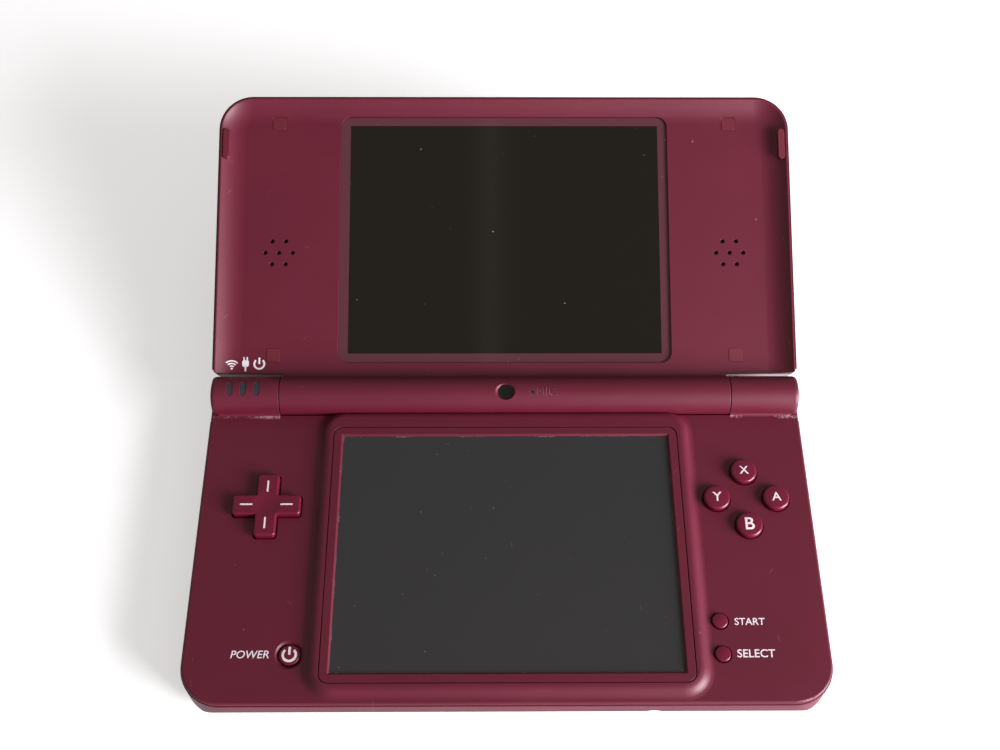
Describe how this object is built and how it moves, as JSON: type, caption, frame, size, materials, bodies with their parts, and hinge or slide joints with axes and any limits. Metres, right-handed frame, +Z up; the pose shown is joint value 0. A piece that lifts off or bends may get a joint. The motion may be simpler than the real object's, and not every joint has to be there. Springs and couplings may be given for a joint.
{
  "type": "clamshell handheld game console",
  "caption": "Clamshell handheld game console, lid open wide: screen in the lid, touch screen on a raised plateau between D-pad and round buttons, barrel hinge with camera.",
  "frame": {"origin": "centre of the footprint of the open console, on the plane of the feet", "axes": "+X to the right along the hinge, +Y to the back towards the opened lid, +Z up"},
  "size_m": [0.1613, 0.167, 0.0466],
  "materials": {
    "wine_matte": "fine-grained matte",
    "wine_gloss": "clear-coated gloss",
    "wine_button": "satin",
    "touch_film": "low gloss film",
    "screen_window": "polished",
    "screen_module": "matt",
    "sheet_steel": "plain",
    "circuit_board": "solder mask",
    "battery_wrap": "matt",
    "contact_brass": "plain",
    "dark_rubber": "matt",
    "contact_rubber": "matt",
    "black_plastic": "matt",
    "lens_black": "polished",
    "light_pipe": "dark tinted",
    "pale_pipe": "milky",
    "flex_film": "amber film"
  },
  "bodies": {
    "base": {"base_bottom_shell": "wine_matte", "deck_shell": "wine_matte", "touch_screen_frame": "wine_matte", "battery_cover": "wine_matte", "touch_panel": "touch_film", "lower_lcd": "screen_module", "lcd_tray": "sheet_steel", "board_shield": "sheet_steel", "wireless_module": "sheet_steel", "battery_cover_screws": "sheet_steel", "base_screws": "sheet_steel", "game_card_slot": "sheet_steel", "sd_card_slot": "sheet_steel", "hinge_cartridge": "sheet_steel", "shoulder_pins": "sheet_steel", "shoulder_springs": "sheet_steel", "mainboard": "circuit_board", "battery_pack": "battery_wrap", "battery_contacts": "contact_brass", "rubber_feet": "dark_rubber", "dpad_membrane": "contact_rubber", "face_button_membrane": "contact_rubber", "menu_button_membrane": "contact_rubber", "tact_switches": "black_plastic", "charging_port": "black_plastic", "headphone_jack": "black_plastic", "stylus_holder": "black_plastic", "indicator_light_pipes": "light_pipe"},
    "lid": {"lid_outer_shell": "wine_gloss", "lid_inner_shell": "wine_matte", "upper_screen_window": "screen_window", "upper_lcd": "screen_module", "speaker_left": "black_plastic", "speaker_right": "black_plastic", "lid_screws": "sheet_steel", "lid_screw_covers": "dark_rubber", "rim_bumpers": "dark_rubber", "inner_camera": "lens_black", "outer_camera": "lens_black", "outer_camera_ring": "sheet_steel", "camera_indicator": "pale_pipe", "microphone": "sheet_steel", "hinge_cam_shaft": "sheet_steel", "display_flex_cable": "flex_film"},
    "dpad_pivot": {"dpad_pivot_pad": "contact_rubber"},
    "dpad": {"dpad": "wine_button"},
    "button_a": {"button_a": "wine_button"},
    "button_b": {"button_b": "wine_button"},
    "button_x": {"button_x": "wine_button"},
    "button_y": {"button_y": "wine_button"},
    "start_button": {"start_button": "wine_button"},
    "select_button": {"select_button": "wine_button"},
    "power_button": {"power_button": "wine_button"},
    "shoulder_left": {"shoulder_button_left": "wine_button"},
    "shoulder_right": {"shoulder_button_right": "wine_button"},
    "volume_rocker": {"volume_rocker": "wine_button"},
    "card_cover": {"sd_slot_cover": "wine_button"},
    "stylus": {"stylus": "wine_button"}
  },
  "joints": [
    {"name": "lid_hinge", "type": "hinge", "parent": "base", "child": "lid", "pos_m": [0, 0.00257, 0.0132], "axis": [1, 0, 0], "range_deg": [0, 157.5]},
    {"name": "dpad_rock_fore_aft", "type": "hinge", "parent": "base", "child": "dpad_pivot", "pos_m": [-0.0626, -0.03053, 0.009], "axis": [1, 0, 0], "range_deg": [-3, 3], "stiffness_Nm_per_rad": 0.15},
    {"name": "dpad_rock_sideways", "type": "hinge", "parent": "dpad_pivot", "child": "dpad", "pos_m": [-0.0626, -0.03053, 0.009], "axis": [0, 1, 0], "range_deg": [-3, 3], "stiffness_Nm_per_rad": 0.15},
    {"name": "button_a_press", "type": "slide", "parent": "base", "child": "button_a", "axis": [0, 0, -1], "range_m": [0, 0.0008], "stiffness_N_per_m": 500},
    {"name": "button_b_press", "type": "slide", "parent": "base", "child": "button_b", "axis": [0, 0, -1], "range_m": [0, 0.0008], "stiffness_N_per_m": 500},
    {"name": "button_x_press", "type": "slide", "parent": "base", "child": "button_x", "axis": [0, 0, -1], "range_m": [0, 0.0008], "stiffness_N_per_m": 500},
    {"name": "button_y_press", "type": "slide", "parent": "base", "child": "button_y", "axis": [0, 0, -1], "range_m": [0, 0.0008], "stiffness_N_per_m": 500},
    {"name": "start_button_press", "type": "slide", "parent": "base", "child": "start_button", "axis": [0, 0, -1], "range_m": [0, 0.0006], "stiffness_N_per_m": 500},
    {"name": "select_button_press", "type": "slide", "parent": "base", "child": "select_button", "axis": [0, 0, -1], "range_m": [0, 0.0006], "stiffness_N_per_m": 500},
    {"name": "power_button_press", "type": "slide", "parent": "base", "child": "power_button", "axis": [0, 0, -1], "range_m": [0, 0.0006], "stiffness_N_per_m": 500},
    {"name": "shoulder_right_press", "type": "hinge", "parent": "base", "child": "shoulder_right", "pos_m": [0.065, 0.00477, 0.006], "axis": [0, 0, -1], "range_deg": [0, 3], "stiffness_Nm_per_rad": 0.4},
    {"name": "shoulder_left_press", "type": "hinge", "parent": "base", "child": "shoulder_left", "pos_m": [-0.065, 0.00477, 0.006], "axis": [0, 0, 1], "range_deg": [0, 3], "stiffness_Nm_per_rad": 0.4},
    {"name": "volume_rock", "type": "hinge", "parent": "base", "child": "volume_rocker", "pos_m": [-0.0787, -0.02843, 0.0076], "axis": [0, 0, 1], "range_deg": [-3, 3], "stiffness_Nm_per_rad": 0.1},
    {"name": "card_cover_flap", "type": "hinge", "parent": "base", "child": "card_cover", "pos_m": [0.0798, -0.04343, 0.00265], "axis": [0, 1, 0], "range_deg": [0, 90]},
    {"name": "stylus_draw", "type": "slide", "parent": "base", "child": "stylus", "axis": [1, 0, 0], "range_m": [0, 0.098]}
  ]
}
